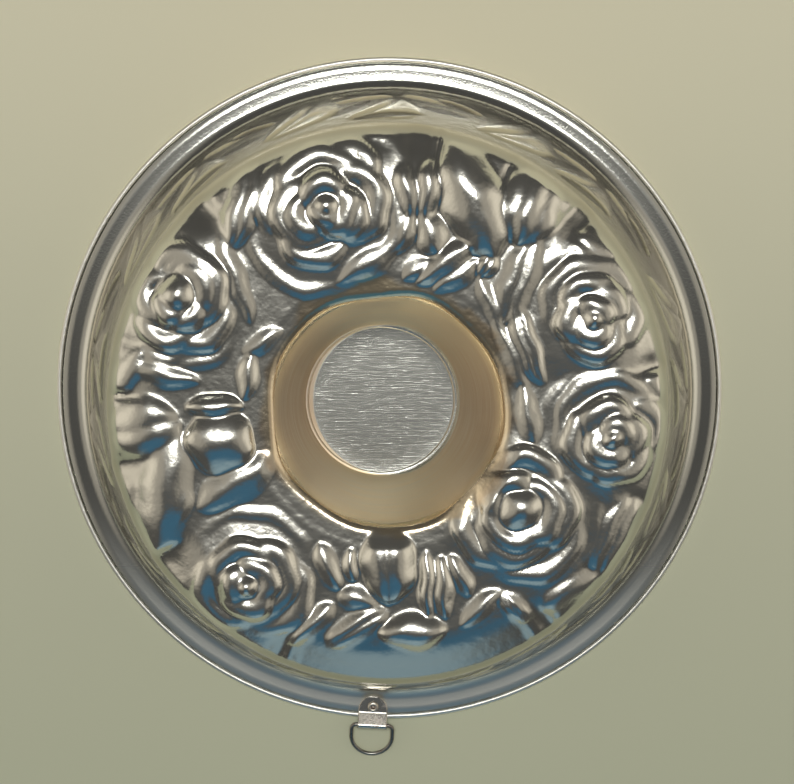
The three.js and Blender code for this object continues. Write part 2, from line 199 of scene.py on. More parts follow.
class Flower(NamedTuple):
    """A rose: its middle in millimetres, the radius of the bulb in it, and its petals from the outermost in.

    Each petal has the way it faces and half its spread in degrees, and its reach from the middle.
    """

    middle: tuple
    bulb: float
    petals: tuple


class Leaf(NamedTuple):
    """A leaf from its stem to its tip, in millimetres, with its width, its rise and its number of ribs."""

    stem: tuple
    tip: tuple
    width: float
    rise: float
    ribs: int


FLOWERS = (
    Flower((-20.3, 70.4), 3.4, (
        (240, 60, 32), (45, 35, 33), (-25, 45, 28), (170, 40, 25), (60, 35, 24), (110, 60, 21),
        (245, 45, 21), (10, 60, 20), (200, 55, 18.5), (-25, 40, 14), (205, 45, 13.7), (105, 60, 10.7),
        (-30, 80, 10), (263, 70, 6.2),
    )),
    Flower((-71.6, 40.5), 6.0, (
        (-65, 40, 27.5), (252, 25, 26), (-50, 45, 21.5), (245, 45, 19), (90, 40, 17), (25, 75, 16.3),
        (185, 50, 14.8), (20, 55, 12.8), (-65, 40, 12), (240, 50, 9.3),
    )),
    Flower((70.5, 32.4), 3.0, (
        (140, 70, 27), (100, 85, 20.5), (0, 45, 17.5), (275, 65, 14.5), (100, 65, 14.5), (45, 45, 12.5),
        (190, 60, 11.5), (260, 70, 8.5), (60, 90, 6.5),
    )),
    Flower((77.6, -8.9), 3.2, (
        (130, 60, 27), (105, 85, 23), (20, 40, 19.5), (195, 60, 16.5), (290, 75, 15), (110, 60, 13),
        (10, 50, 11.5), (240, 80, 9), (60, 80, 7),
    )),
    Flower((45.8, -33.4), 8.0, (
        (-35, 60, 31), (-65, 60, 26.5), (215, 60, 23.5), (85, 55, 20.5), (-5, 55, 19.5), (260, 55, 19.3),
        (-20, 70, 14.5), (250, 70, 14), (140, 60, 13.5),
    )),
    Flower((-48.7, -60.3), 3.0, (
        (75, 85, 27.5), (-20, 60, 22.5), (205, 65, 18.5), (25, 70, 17.5), (100, 70, 15), (280, 70, 11),
        (25, 70, 10.5), (180, 70, 7.5),
    )),
)

LEAVES = [
    Leaf(*row)
    for row in (
        ((37, 52), (22, 93), 19, 7, 1), ((44, 57), (54, 85), 20, 5.8, 3),
        ((-70, -9), (-45, -12), 20, 6.8, 1), ((-69, 1), (-49, 2), 8, 4.6, 1),
        ((-1, -39), (2, -67), 17, 6.5, 2), ((-71, -2), (-97, -9), 20, 4.6, 2),
        ((-72, -6), (-82, -52), 18, 4.4, 1), ((-83, 24), (-95, 5), 10, 3, 1),
        ((-64, 10), (-90, 16), 9, 3, 1), ((-46, 30), (-58, 62), 9, 3, 1), ((88, 12), (98, 6), 12, 3, 1),
        ((86, -27), (72, -60), 12, 3, 2), ((60, 3), (60, -22), 8, 2.6, 1), ((62, 60), (82, 48), 12, 3.2, 2),
        ((53, -70), (74, -56), 10, 3, 1), ((-69, -26), (-73, -40), 7, 3, 1),
        ((-66, -34), (-37, -15), 13, 3.8, 1), ((-49, 4), (-46, 21), 7, 3, 1),
        ((-50, 20), (-35, 28), 7, 2.5, 1), ((-67, 2), (-56, 3), 7, 4, 1),
        ((-53, 55), (-45, 88), 12, 4.5, 2), ((9, 65), (5, 85), 9, 4.4, 1), ((13, 65), (15, 87), 9, 4.6, 1),
        ((9, 69), (3, 54), 8, 3.6, 1), ((12, 69), (18, 53), 10, 3.8, 1), ((-18, 44), (4, 58), 10, 3.6, 1),
        ((5, 45), (15, 53), 7, 2.4, 1), ((10, 44), (31, 59), 9, 4, 1), ((16, 41), (32, 53), 8, 3, 1),
        ((31, 46), (37, 54), 6, 3.6, 2), ((51, 61), (39, 30), 13, 3.6, 2), ((31, 47), (39, 28), 6, 2.4, 1),
        ((43, 38), (53, 9), 9, 3.8, 2), ((37, 33), (48, 6), 8, 2.6, 1), ((46, 9), (51, -13), 9, 3, 1),
        ((-3, -77), (21, -77), 12, 5, 1), ((0, -69), (-21, -82), 10, 3.8, 2),
        ((-3, -68), (-17, -63), 8, 3.2, 1), ((-18, -67), (-34, -82), 8, 3.4, 1),
        ((14, -48), (14, -72), 6, 3.6, 1), ((19, -50), (20, -73), 7, 3.8, 1),
        ((22, -50), (29, -64), 7, 3.2, 1), ((40, -62), (25, -75), 7, 3.2, 1),
        ((39, -63), (50, -74), 7, 3, 2), ((-24, -46), (-17, -62), 8, 3.4, 1),
        ((-13, -47), (-12, -60), 5, 3, 1),
    )
]


def smooth_step(value, low, high):
    """0 below low, 1 above high, and a smooth rise between."""
    part = np.clip((value - low) / (high - low), 0, 1)
    return part * part * (3 - 2 * part)


def rise_at(value, start, reach):
    """A smooth rise from 0 to 1 between two distances from a start."""
    return smooth_step(value, start + reach[0], start + reach[1])


def smooth_max(first, second, width):
    """The higher of two heights, blended where they are within a width of each other."""
    near = np.maximum(width - np.abs(first - second), 0) / width
    return np.maximum(first, second) + near * near * width / 4


LEAST_WIDTH = 1e-3


def along_across(start, end, x, y):
    """Where points lie by a line: the share of the way along it, and how far to its left."""
    run = Vector(end) - Vector(start)
    dx, dy = x - start[0], y - start[1]
    return (dx * run.x + dy * run.y) / run.length_squared, (dy * run.x - dx * run.y) / run.length


def foot_radius(sizes):
    """Radius of the corner between the wall and the brim."""
    return sizes.rim_diameter / 2 - sizes.brim_width


def crown_edge(sizes):
    """Radius and height of the corner between the crown and the wall, which the shoulder rounds off."""
    lean, fall = math.tan(sizes.wall_draft), math.tan(sizes.crown_fall)
    start = sizes.fall_diameter / 2
    radius = foot_radius(sizes) - (sizes.crown_height - sizes.brim_height) * lean - start * fall * lean
    radius /= 1 - fall * lean
    return Vector((radius, sizes.crown_height - (radius - start) * fall))


def crown_zone(away, sizes, start, end):
    """1 on the crown, which rises from 0 at the ridge round the tube and falls to 0 at the wall."""
    ridge = (sizes.mouth_diameter / 2 + sizes.ridge_width) / MM
    return rise_at(away, ridge, start) * (1 - rise_at(away, crown_edge(sizes).x / MM, end))


def up_wall(z, sizes):
    """How far up the slope of the wall heights in millimetres are."""
    return (z - sizes.brim_height / MM) / math.cos(sizes.wall_draft)


FLOWER_RISE = 7.6
PETAL_TUCK = 0.2
PETAL_DROOP = 0.9
FLOWER_FALL = 0.8
FLOWER_FALL_POWER = 1.15
MOUND_RISE = 0.42
MOUND_REACH = 1.15


def flower_height(made, x, y, relief):
    """Height of a flower over plan points, in millimetres: overlapping petals, the inner ones higher."""
    face, crest = relief.petal_round / MM, relief.petal_crest / MM
    lip, drop = relief.lip_round / MM, relief.lip_drop / MM
    dx, dy = x - made.middle[0], y - made.middle[1]
    away, turn = np.hypot(dx, dy), np.degrees(np.arctan2(dy, dx))
    size = max(reach for _, _, reach in made.petals)
    height = FLOWER_RISE * MOUND_RISE * (1 - (away / size / MOUND_REACH) ** 2)
    for heading, spread, reach in made.petals:
        swing = ((turn - heading + 180) % 360 - 180) / spread
        out = away - reach * (1 - PETAL_TUCK * swing**2)
        level = FLOWER_RISE * (1 - FLOWER_FALL * (reach / size) ** FLOWER_FALL_POWER) - PETAL_DROOP * swing**2
        near = np.clip(out, 0, drop)
        outside = out * crest / face + near**2 / (2 * lip) + (np.maximum(out, drop) - drop) * drop / lip
        inside = ((out + crest) ** 2 - crest**2) / (2 * face)
        height = smooth_max(height, level - np.where(out > 0, outside, inside), relief.crease / MM)
    return smooth_max(height, FLOWER_RISE - away**2 / (2 * made.bulb), relief.crease / MM)


RIB_DEPTH = 0.8
RIB_LEVEL = 0.6
LEAF_OUTLINE = 0.55
LEAF_ENDS = 0.45
LEAF_SIDES = 0.85
LEAF_SPREAD = 1.3
LEAF_RISE = 0.9
LEAF_LOWEST = -9


def leaf_height(made, x, y):
    """Height of a leaf over plan points, in millimetres, with grooves between its ribs."""
    part, off = along_across(made.stem, made.tip, x, y)
    part = np.clip(part, 0, 1)
    hump = 4 * part * (1 - part)
    across = off / (LEAF_SPREAD * made.width / 2 * hump**LEAF_OUTLINE + LEAST_WIDTH)
    inside = np.clip(1 - across**2, LEAF_LOWEST, 1)
    ribs = RIB_DEPTH * (np.abs(np.sin(np.pi * (made.ribs * (across + 1) / 2))) - RIB_LEVEL)
    rounding = np.sign(inside) * np.abs(inside) ** LEAF_SIDES
    return LEAF_RISE * made.rise * hump**LEAF_ENDS * rounding + ribs * np.clip(inside, 0, 1)


class Wave(NamedTuple):
    """A wave over the plan, by radians per millimetre along x and y, whose crests sway with another wave."""

    x: float
    y: float
    start: float
    sway: float = 0
    sway_x: float = 0
    sway_y: float = 0
    sway_start: float = 0

    def height(self, x, y):
        """Its height at plan points, from -1 to 1."""
        sway = self.sway * np.sin(self.sway_x * x + self.sway_y * y + self.sway_start)
        return np.sin(self.x * x + self.y * y + self.start + sway)


# Unevenness of the sheet between the forms, each wave with its height in millimetres.
LAND_WAVES = (
    (0.1, Wave(0.43, 0, 0, 1.3, 0, 0.21, 0.4)),
    (0.1, Wave(0, 0.39, 0, 1.1, 0.24, 0, 2.0)),
    (0.08, Wave(0.31, 0.31, 1.7)),
    (0.08, Wave(0.35, -0.35, 0.6)),
)
# The wandering outlines of a hand-cut die, along x and along y.
WANDER_X = Wave(0, 0.47, 1.0, 0.8, 0.31)
WANDER_Y = Wave(0.43, 0, 2.1, 0.9, 0, 0.29)
FORMS_START = (-7, 2)
FORMS_END = (-3, 2.5)


def crown_lift(x, y, sizes, relief):
    """How far the embossing lifts the crown at plan points, in millimetres."""
    away, stray = np.hypot(x, y), relief.wander / MM
    x, y = x + stray * WANDER_X.height(x, y), y + stray * WANDER_Y.height(x, y)
    height = sum(size * wave.height(x, y) for size, wave in LAND_WAVES)
    for made in LEAVES:
        height = smooth_max(height, leaf_height(made, x, y), relief.leaf_crease / MM)
    for made in FLOWERS:
        height = smooth_max(height, flower_height(made, x, y, relief), relief.crease / MM)
    return height * crown_zone(away, sizes, FORMS_START, FORMS_END)


class WallLeaf(NamedTuple):
    """A leaf on the wall, in millimetres to the right of its sprig and up the wall.

    It has the bow of its midrib, its half widths, and how deep its right half is dished as a share.
    """

    base: tuple
    tip: tuple
    bow: float
    left: float
    right: float
    dish: float


# Degrees round the pan at which the leaves of the wall start again, and what belongs to each start.
SPRIGS = (196.8, 155.1, 114.5, 71.3, 26.2, -13.7, -51.1, -88.5, -125.9)
SPRIG_LEAVES = (
    WallLeaf((20, 5), (0, 40), -4.3, 8, 14, 0.6),
    WallLeaf((48, 16), (31, 42), -4, 6, 15, 0),
    WallLeaf((47, 12), (17, 17), 4, 6, 7, 0.3),
    WallLeaf((49, 10), (78.5, 18), -5, 9, 6, 0.3),
)
# Lens-shaped hollows, each by its two ends and its width, which are sunk and painted in shade.
WALL_HOLLOWS = (
    ((31.5, 43.5), (58, 37), 7.5),
    ((55, 25), (74, 30), 9),
    ((61, 14), (78, 22), 5.5),
    ((24, 37), (39, 18), 8),
)
SPRIG_BEHIND = 90
HOLLOW_DEPTH = 0.6
HOLLOW_EDGE = 0.6
WALL_CREASE = 0.1
WALL_LEAF_OUTLINE = 0.7
MIDRIB = 1.3
MIDRIB_DEPTH = 0.7
RIM_SHARPNESS = 0.5
RIM_DIP = 0.35
DISH_PLACE = 0.45
DISH_WIDTH = 0.35
DISH_START = (0.3, 0.6)


def wall_leaf_height(made, x, up):
    """Height of a wall leaf as a share of its rise, with a grooved midrib and a dish near the tip."""
    part, off = along_across(made.base, made.tip, x, up)
    hump = np.clip(4 * part * (1 - part), 0, 1)
    off = off - made.bow * hump
    half = np.where(off > 0, made.left, made.right) * hump**WALL_LEAF_OUTLINE
    across = np.abs(off) / (half + LEAST_WIDTH)
    inside = np.clip(1 - across**2, 0, 1)
    height = inside**RIM_SHARPNESS * (1 - RIM_DIP * inside)
    dish = made.dish * np.exp(-(((across - DISH_PLACE) / DISH_WIDTH) ** 2))
    dish = dish * smooth_step(part, *DISH_START) * (off < 0)
    groove = MIDRIB_DEPTH * np.exp(-((off / MIDRIB) ** 2))
    return np.maximum(height * (1 - groove - dish), 0)


def wall_hollow(start, end, width, x, up):
    """How deep a lens-shaped hollow is, as a share."""
    part, off = along_across(start, end, x, up)
    part = np.clip(part, 0, 1)
    across = off / (width * 2 * part * (1 - part) + LEAST_WIDTH)
    return smooth_step(1 - across**2, 0, HOLLOW_EDGE)


def wall_lift(turn, up, sizes):
    """Shares of the leaves' rise and of the hollows' depth, by degrees round and millimetres up."""
    height, hollow = np.zeros_like(turn), np.zeros_like(turn)
    middle = (crown_edge(sizes).x + foot_radius(sizes)) / 2 / MM
    for sprig in SPRIGS:
        x = np.radians((sprig - turn + SPRIG_BEHIND) % 360 - SPRIG_BEHIND) * middle
        for made in SPRIG_LEAVES:
            height = smooth_max(height, wall_leaf_height(made, x, up), WALL_CREASE)
        for lens in WALL_HOLLOWS:
            hollow = np.maximum(hollow, wall_hollow(*lens, x, up))
    return height * (1 - HOLLOW_DEPTH * hollow), hollow


def join(bm, row):
    """Joins points in a row by edges."""
    for pair in zip(row, row[1:]):
        bm.edges.new(pair)


def divide(bm, pitch_at):
    """Cuts each edge into steps of about the pitch at its middle."""
    for line in bm.edges[:]:
        middle = (line.verts[0].co + line.verts[1].co) / 2
        cuts = round(line.calc_length() / pitch_at(middle)) - 1
        if cuts > 0:
            bmesh.ops.subdivide_edges(bm, edges=[line], cuts=cuts)


def spin_round(bm, steps):
    """Spins a section into a full turn about the axis."""
    section, turn = bm.verts[:] + bm.edges[:], 2 * math.pi
    bmesh.ops.spin(bm, geom=section, cent=(0, 0, 0), axis=(0, 0, 1), angle=turn, steps=steps, use_merge=True)


def run(bm, front, vec):
    """Draws an open end out straight, and returns the new end."""
    grown = bmesh.ops.extrude_edge_only(bm, edges=front)["geom"]
    moved = {v for v in grown if isinstance(v, bmesh.types.BMVert)}
    bmesh.ops.translate(bm, verts=list(moved), vec=vec)
    return [e for e in grown if isinstance(e, bmesh.types.BMEdge) and moved.issuperset(e.verts)]


def bend(bm, front, centre, degrees, steps):
    """Draws an open end round a bend, and returns the new end."""
    turn = math.radians(degrees)
    spun = bmesh.ops.spin(bm, geom=front, cent=centre, axis=(0, 0, 1), angle=turn, steps=steps)
    return [e for e in spun["geom_last"] if isinstance(e, bmesh.types.BMEdge)]


def face_out(bm):
    """Turns all faces of a mesh outwards and shades them as rounded."""
    bmesh.ops.recalc_face_normals(bm, faces=bm.faces[:])
    for face in bm.faces:
        face.smooth = True


# Longest edges of the sheet's section in each zone, on the crown's side and on the cake's.
FINE = {"tube": 0.005, "crown": 0.00085, "wall": 0.0012, "brim": 0.003}
COARSE = {"tube": 0.007, "crown": 0.0018, "wall": 0.005, "brim": 0.004}
EMBOSSED = ("crown", "wall")
LEAST_ROUND = 0.0002
ROUND_STEPS = 5
CURL_STEPS = 16
CURL_START = math.radians(216)
CURL_TURN = math.radians(288)
TOUCH = 1e-6


def offset_corners(corners, distance):
    """A chain of corners moved to its left by a distance, with each rounding fitted to that side."""
    points = [Vector(corner[:2]) for corner in corners]
    moved = []
    for i, (_, _, rounding) in enumerate(corners):
        into = (points[i] - points[max(i - 1, 0)]).normalized()
        out = (points[min(i + 1, len(points) - 1)] - points[i]).normalized()
        into = into if i else out
        out = out if i < len(points) - 1 else into
        along = (into + out).normalized()
        left = Vector((-along.y, along.x)) * distance / along.dot(into)
        side = math.copysign(1, into.x * out.y - into.y * out.x)
        fitted = max(rounding - side * distance, LEAST_ROUND) if rounding else 0
        moved.append((points[i] + left, fitted, into.angle(out)))
    return moved


def rolled_rim(sizes):
    """Middle of the rolled rim's section, and the radius of the sheet's middle round it."""
    curl = sizes.curl_bore / 2 + sizes.sheet / 2
    reach = curl + sizes.sheet / 2
    return Vector((sizes.rim_diameter / 2 - reach, reach)), curl


def sheet_corners(sizes):
    """Corners of the sheet's middle from the disc to the rolled rim, each with its rounding."""
    disc, level = sizes.floor_diameter / 2, sizes.floor_height
    ledge, mouth = disc - sizes.step_width, sizes.mouth_diameter / 2
    edge = crown_edge(sizes)
    bead, curl = rolled_rim(sizes)
    return (
        (0, level, 0),
        (ledge, level, sizes.floor_round),
        (ledge + sizes.step_rise, level + sizes.step_rise, sizes.floor_round),
        (disc + sizes.step_rise / 2, level + sizes.step_rise, sizes.floor_round),
        (mouth, sizes.crown_height + sizes.ridge_rise, sizes.mouth_round),
        (mouth + sizes.ridge_width, sizes.crown_height, sizes.ridge_round),
        (sizes.fall_diameter / 2, sizes.crown_height, sizes.fall_round),
        (edge.x, edge.y, sizes.shoulder_round),
        (foot_radius(sizes), sizes.brim_height, sizes.foot_round),
        (bead.x + curl * (math.cos(CURL_START) - 1), sizes.brim_height, 0),
    )


def round_corner(bm, at, rounding, turn, pitch):
    """Rounds the corner of a section at a place, where it turns by an angle."""
    corner = min(bm.verts, key=lambda vert: (vert.co - Vector((at.x, 0, at.y))).length)
    bmesh.ops.bevel(
        bm,
        geom=[corner],
        offset=rounding * math.tan(turn / 2),
        offset_type="OFFSET",
        segments=max(ROUND_STEPS, round(rounding * turn / pitch)),
        profile=0.5,
        affect="VERTICES",
        material=-1,
    )


def zone_of(radius, sizes):
    """Which zone of the sheet a radius is in."""
    if radius < sizes.mouth_diameter / 2 - sizes.mouth_round:
        return "tube"
    if radius < crown_edge(sizes).x + sizes.shoulder_round / 4:
        return "crown"
    return "wall" if radius < foot_radius(sizes) else "brim"


def is_ring(edge):
    """Whether an edge runs round the axis."""
    first, second = (vert.co for vert in edge.verts)
    return abs(first.z - second.z) < TOUCH and abs(first.xy.length - second.xy.length) < 2 * TOUCH


def sheet_side(sizes, side, pitches, facets, cuts):
    """One side of the sheet as a spun mesh: side is 1 for the crown's side and -1 for the cake's.

    It has a number of facets round it, and more cuts in each of them where the embossing is.
    """
    half = side * sizes.sheet / 2
    moved = offset_corners(sheet_corners(sizes), half)
    bead, curl = rolled_rim(sizes)
    tip = bead + (curl - half) * Vector((math.cos(CURL_START), math.sin(CURL_START)))
    bm = bmesh.new()
    row = [bm.verts.new((at.x, 0, at.y)) for at in [corner[0] for corner in moved] + [tip]]
    join(bm, row)
    centre = (bead.x, 0, bead.y)
    bmesh.ops.spin(bm, geom=row[-1:], cent=centre, axis=(0, -1, 0), angle=CURL_TURN, steps=CURL_STEPS)
    for at, rounding, turn in moved:
        if rounding:
            round_corner(bm, at, rounding, turn, pitches["crown"])
    divide(bm, lambda middle: pitches[zone_of(middle.x, sizes)])
    spin_round(bm, facets)
    bmesh.ops.remove_doubles(bm, verts=bm.verts[:], dist=TOUCH)
    if cuts:
        rings = [e for e in bm.edges if is_ring(e) and zone_of(e.verts[0].co.xy.length, sizes) in EMBOSSED]
        bmesh.ops.subdivide_edges(bm, edges=rings, cuts=cuts)
    sector = 2 * math.pi / facets
    for vert in bm.verts:
        off = (math.atan2(vert.co.y, vert.co.x) % sector) - sector / 2
        vert.co.xy *= math.cos(off) / math.cos(sector / 2)
    return bm


class Wire:
    """A socket in a node tree. Arithmetic on it adds Math nodes."""

    def __init__(self, tree, socket):
        self.tree = tree
        self.socket = socket

    def node(self, kind, settings=None, inputs=None, output=0):
        """An output of a new node, whose settings are set before its sockets."""
        made = self.tree.nodes.new(kind)
        for name, value in (settings or {}).items():
            setattr(made, name, value)
        for name, value in (inputs or {}).items():
            if isinstance(value, Wire):
                self.tree.links.new(value.socket, made.inputs[name])
            elif hasattr(value, "__len__") and len(made.inputs[name].default_value) > len(value):
                made.inputs[name].default_value = (*value, 1)
            else:
                made.inputs[name].default_value = value
        return Wire(self.tree, made.outputs[output])

    def math(self, operation, *values):
        """A Math node on values."""
        return self.node("ShaderNodeMath", {"operation": operation}, dict(enumerate(values)))

    def __add__(self, other):
        return self.math("ADD", self, other)

    def __radd__(self, other):
        return self.math("ADD", other, self)

    def __sub__(self, other):
        return self.math("SUBTRACT", self, other)

    def __rsub__(self, other):
        return self.math("SUBTRACT", other, self)

    def __mul__(self, other):
        return self.math("MULTIPLY", self, other)

    def __rmul__(self, other):
        return self.math("MULTIPLY", other, self)

    def __truediv__(self, other):
        return self.math("DIVIDE", self, other)

    def step(self, low, high):
        """0 below low, 1 above high, and a smooth rise between."""
        settings = {"interpolation_type": "SMOOTHSTEP"}
        return self.node("ShaderNodeMapRange", settings, {"Value": self, "From Min": low, "From Max": high})

    def rise(self, start, reach):
        """A smooth rise from 0 to 1 between two distances from a start."""
        return self.step(start + reach[0], start + reach[1])

    def axes(self):
        """The x, y and z of this vector."""
        parts = self.node("ShaderNodeSeparateXYZ", None, {0: self}).socket.node.outputs
        return [Wire(self.tree, part) for part in parts]

    def mix(self, first, second):
        """A colour mixed from two by this mask."""
        return self.node("ShaderNodeMix", {"data_type": "RGBA"}, {0: self, 6: first, 7: second}, 2)

    def blend(self, kind, other):
        """This colour added to another or multiplied by it."""
        settings = {"data_type": "RGBA", "blend_type": kind}
        return self.node("ShaderNodeMix", settings, {0: 1.0, 6: self, 7: other}, 2)


def reach_of(first, second):
    """The length of a vector with two parts."""
    return first.math("SQRT", first * first + second * second)


def new_finish(name, metallic=1):
    """A new finish, and its Object coordinates to paint from."""
    made = bpy.data.materials.new(name)
    made.use_nodes = True
    shader = made.node_tree.nodes["Principled BSDF"]
    shader.inputs["Metallic"].default_value = metallic
    seat = Wire(made.node_tree, None).node("ShaderNodeTexCoord", output="Object")
    return made, shader, seat


def feed(shader, wires):
    """Links wires to the shader's sockets by name."""
    for name, wire in wires.items():
        wire.tree.links.new(wire.socket, shader.inputs[name])


def noise(seat, scale, detail=2, stretch=(1, 1, 1)):
    """Fine unevenness at a scale per metre, drawn out along an axis where stretch is under 1."""
    spread = seat.node("ShaderNodeVectorMath", {"operation": "MULTIPLY"}, {0: seat, 1: stretch})
    return seat.node("ShaderNodeTexNoise", None, {"Vector": spread, "Scale": scale, "Detail": detail})


# The mark that says where shade is painted in the recesses.
RECESS = "recess"
# Scale, detail and stretch of each unevenness of the sheet.
BLOTCH, WAVE, PEEL, GRAIN = (60, 3), (230, 2), (800, 2), (1500, 3)
DRAWN, BRUSHED = (2000, 3, (0.02, 0.02, 1)), (2600, 3, (0.05, 1, 1))
# Where each zone of the sheet starts or ends, in metres from its border.
TUBE_EDGE = (-0.002, -0.0005)
TINT_EDGE = (0.0125, 0.0165)
# Zone of the painted highlight along the tube's lip.
LIP_START, LIP_END = (-0.004, -0.001), (0.001, 0.004)
DISC_EDGE = (-0.0005, 0.0002)
DISC_TOP = (0.002, 0.004)
WALL_EDGE = (-0.002, 0.002)
BRIM_EDGE = (-0.0005, 0.002)
BEAD_EDGE = (0, 0.0008)
SCRAPED_END = (-0.11, -0.02)
# How much each of them does.
TINT_BLOTCH = 0.022
TINT_LEVEL = 0.35
# Share of the painted highlight on the tube's lip.
LIP_HIGHLIGHT = 0.6
# Share of the painted shade in the recesses.
RECESS_SHADE = 0.9
RECESS_ROUGH = 0.08
BLOTCH_ROUGH = 0.05
WAVE_DEPTH, PEEL_DEPTH, GRAIN_DEPTH = 0.15, 0.03, 0.03
DRAWN_DEPTH, BRUSHED_DEPTH = 0.05, 0.05


def pan_finish(finishes, sizes):
    """Pressed aluminium: polished crown and wall, satin tube, matt brim and disc, a rough bead painted
    brighter as a highlight, painted shade in the recesses, and a heat tint in the tube painted lighter at the
    back and front.
    """
    made, shader, seat = new_finish("pan_aluminium")
    x, y, z = seat.axes()
    away = reach_of(x, y)
    blotch, wave, peel, grain = (noise(seat, *kind) for kind in (BLOTCH, WAVE, PEEL, GRAIN))
    drawn, brushed = noise(seat, *DRAWN), noise(seat, *BRUSHED)
    recess = seat.node("ShaderNodeAttribute", {"attribute_name": RECESS}, output="Fac")
    mouth, disc = sizes.mouth_diameter / 2, sizes.floor_diameter / 2
    bead = sizes.rim_diameter / 2 - sizes.curl_bore - 2 * sizes.sheet
    in_tube = 1 - away.rise(mouth, TUBE_EDGE)
    tinted = 1 - (away + TINT_BLOTCH * blotch).rise(mouth, TINT_EDGE)
    on_lip = away.rise(mouth, LIP_START) * (1 - away.rise(mouth, LIP_END))
    on_disc = (1 - away.rise(disc, DISC_EDGE)) * (1 - z.rise(sizes.floor_height, DISC_TOP))
    on_bead = away.rise(bead, BEAD_EDGE)
    on_brim = away.rise(foot_radius(sizes), BRIM_EDGE) * (1 - on_bead)
    on_wall = away.rise(crown_edge(sizes).x, WALL_EDGE) * (1 - on_brim)
    matt = on_brim.math("MAXIMUM", on_brim, on_disc)
    # The heat tint painted lighter gold at the back and front and darker brown at the sides, as light falls
    # in the tube.
    tube_light_and_tint = (y * y / (x * x + y * y)).mix(finishes.tint_shaded, finishes.tint_lit)
    warm = (TINT_LEVEL + drawn).mix(finishes.aluminium, tube_light_and_tint)
    base = on_wall.mix(finishes.aluminium, finishes.aluminium_wall)
    # Painted highlight on the rolled rim.
    base = on_bead.mix(base, finishes.bead_highlight)
    # Painted shade in the recesses and creases.
    base = (RECESS_SHADE * recess).mix(base, finishes.tarnish)
    base = tinted.mix(base, warm)
    # Painted highlight along the tube's lip, in the lit gold.
    base = (on_lip * LIP_HIGHLIGHT).mix(base, finishes.tint_lit)
    base = matt.mix(base, finishes.aluminium_dull)
    rough = finishes.polish + BLOTCH_ROUGH * blotch + RECESS_ROUGH * recess
    rough = rough + in_tube * (finishes.satin - finishes.polish)
    scraped = finishes.matt + (finishes.scraped - finishes.matt) * (1 - y.step(*SCRAPED_END))
    rough = rough + on_brim * (scraped - rough) + on_disc * (finishes.disc_matt - rough)
    rough = rough + on_bead * (finishes.bead_matt - rough)
    polished = (1 - matt) * (1 - in_tube)
    height = polished * (WAVE_DEPTH * wave + PEEL_DEPTH * peel) + DRAWN_DEPTH * in_tube * drawn
    height = height + GRAIN_DEPTH * on_brim * grain + BRUSHED_DEPTH * on_disc * brushed
    bump = seat.node("ShaderNodeBump", None, {"Strength": 1.0, "Distance": MM, "Height": height})
    feed(shader, {"Base Color": base, "Roughness": rough, "Normal": bump})
    return made


PATCH_DETAIL = 4
PLATE_GRAIN = (2500, 3)
WORN_EDGE = (0.56, 0.72)
WORN_RUST, WORN_ROUGH = 0.45, 0.3
BORE_RUST, BORE_EDGE = 0.8, (-0.0002, 0.0001)
PLATE_ROUGH = 0.06
PLATE_BUMP, PLATE_DEPTH = 0.1, 0.00003


def plated_finish(name, base, rust, rough, scale, bore=None):
    """Plated steel, worn and a little rusty in patches, and rusty within a bore's radius of its axis."""
    made, shader, seat = new_finish(name)
    worn = noise(seat, scale, PATCH_DETAIL).step(*WORN_EDGE)
    grain = noise(seat, *PLATE_GRAIN)
    base = (worn * WORN_RUST).mix(base, rust)
    if bore:
        middle, radius = bore
        off = seat.node("ShaderNodeVectorMath", {"operation": "SUBTRACT"}, {0: seat, 1: middle})
        x, y, _ = off.axes()
        base = ((1 - reach_of(x, y).rise(radius, BORE_EDGE)) * BORE_RUST).mix(base, rust)
    rough = rough + WORN_ROUGH * worn + PLATE_ROUGH * grain
    inputs = {"Strength": PLATE_BUMP, "Distance": PLATE_DEPTH, "Height": grain + worn}
    bump = seat.node("ShaderNodeBump", None, inputs)
    feed(shader, {"Base Color": base, "Roughness": rough, "Normal": bump})
    return made


def add_object(name, data):
    """A new object in the scene."""
    made = bpy.data.objects.new(name, data)
    bpy.context.scene.collection.objects.link(made)
    return made


def add_mesh(name, bm, finish):
    """A mesh in its finish, which ends its editing."""
    mesh = bpy.data.meshes.new(name)
    bm.to_mesh(mesh)
    bm.free()
    mesh.materials.append(finish)
    return mesh


def add_piece(name, bm, finish, body):
    """A finished mesh as a piece that rides on a body, with the imported part of its name hidden."""
    made = add_object("look_" + name, add_mesh(name, bm, finish))
    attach(made, body)
    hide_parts(name)


def positions(bm):
    """The x, y and z of a mesh's points in millimetres, as arrays."""
    return np.array([vert.co for vert in bm.verts]).T / MM


# Below this height, in millimetres, nothing is crown.
CROWN_LOW = 40
LAND = (0.4, 2.4)
LOOKS_ROUND = 8
CREASE_REACH = 1.3
CREASE_DEPTH = 0.5
# Strength and zone of the painted shade on the crown's low land and creases.
CROWN_SHADE = 0.31
SHADE_START = (-1, 7)
SHADE_END = (-1, 3)


def near_lifts(x, y, reach, sizes, relief):
    """The embossing's lift at points all round each plan point."""
    turns = np.radians(np.arange(0, 360, 360 / LOOKS_ROUND))
    return [crown_lift(x + reach * np.cos(turn), y + reach * np.sin(turn), sizes, relief) for turn in turns]


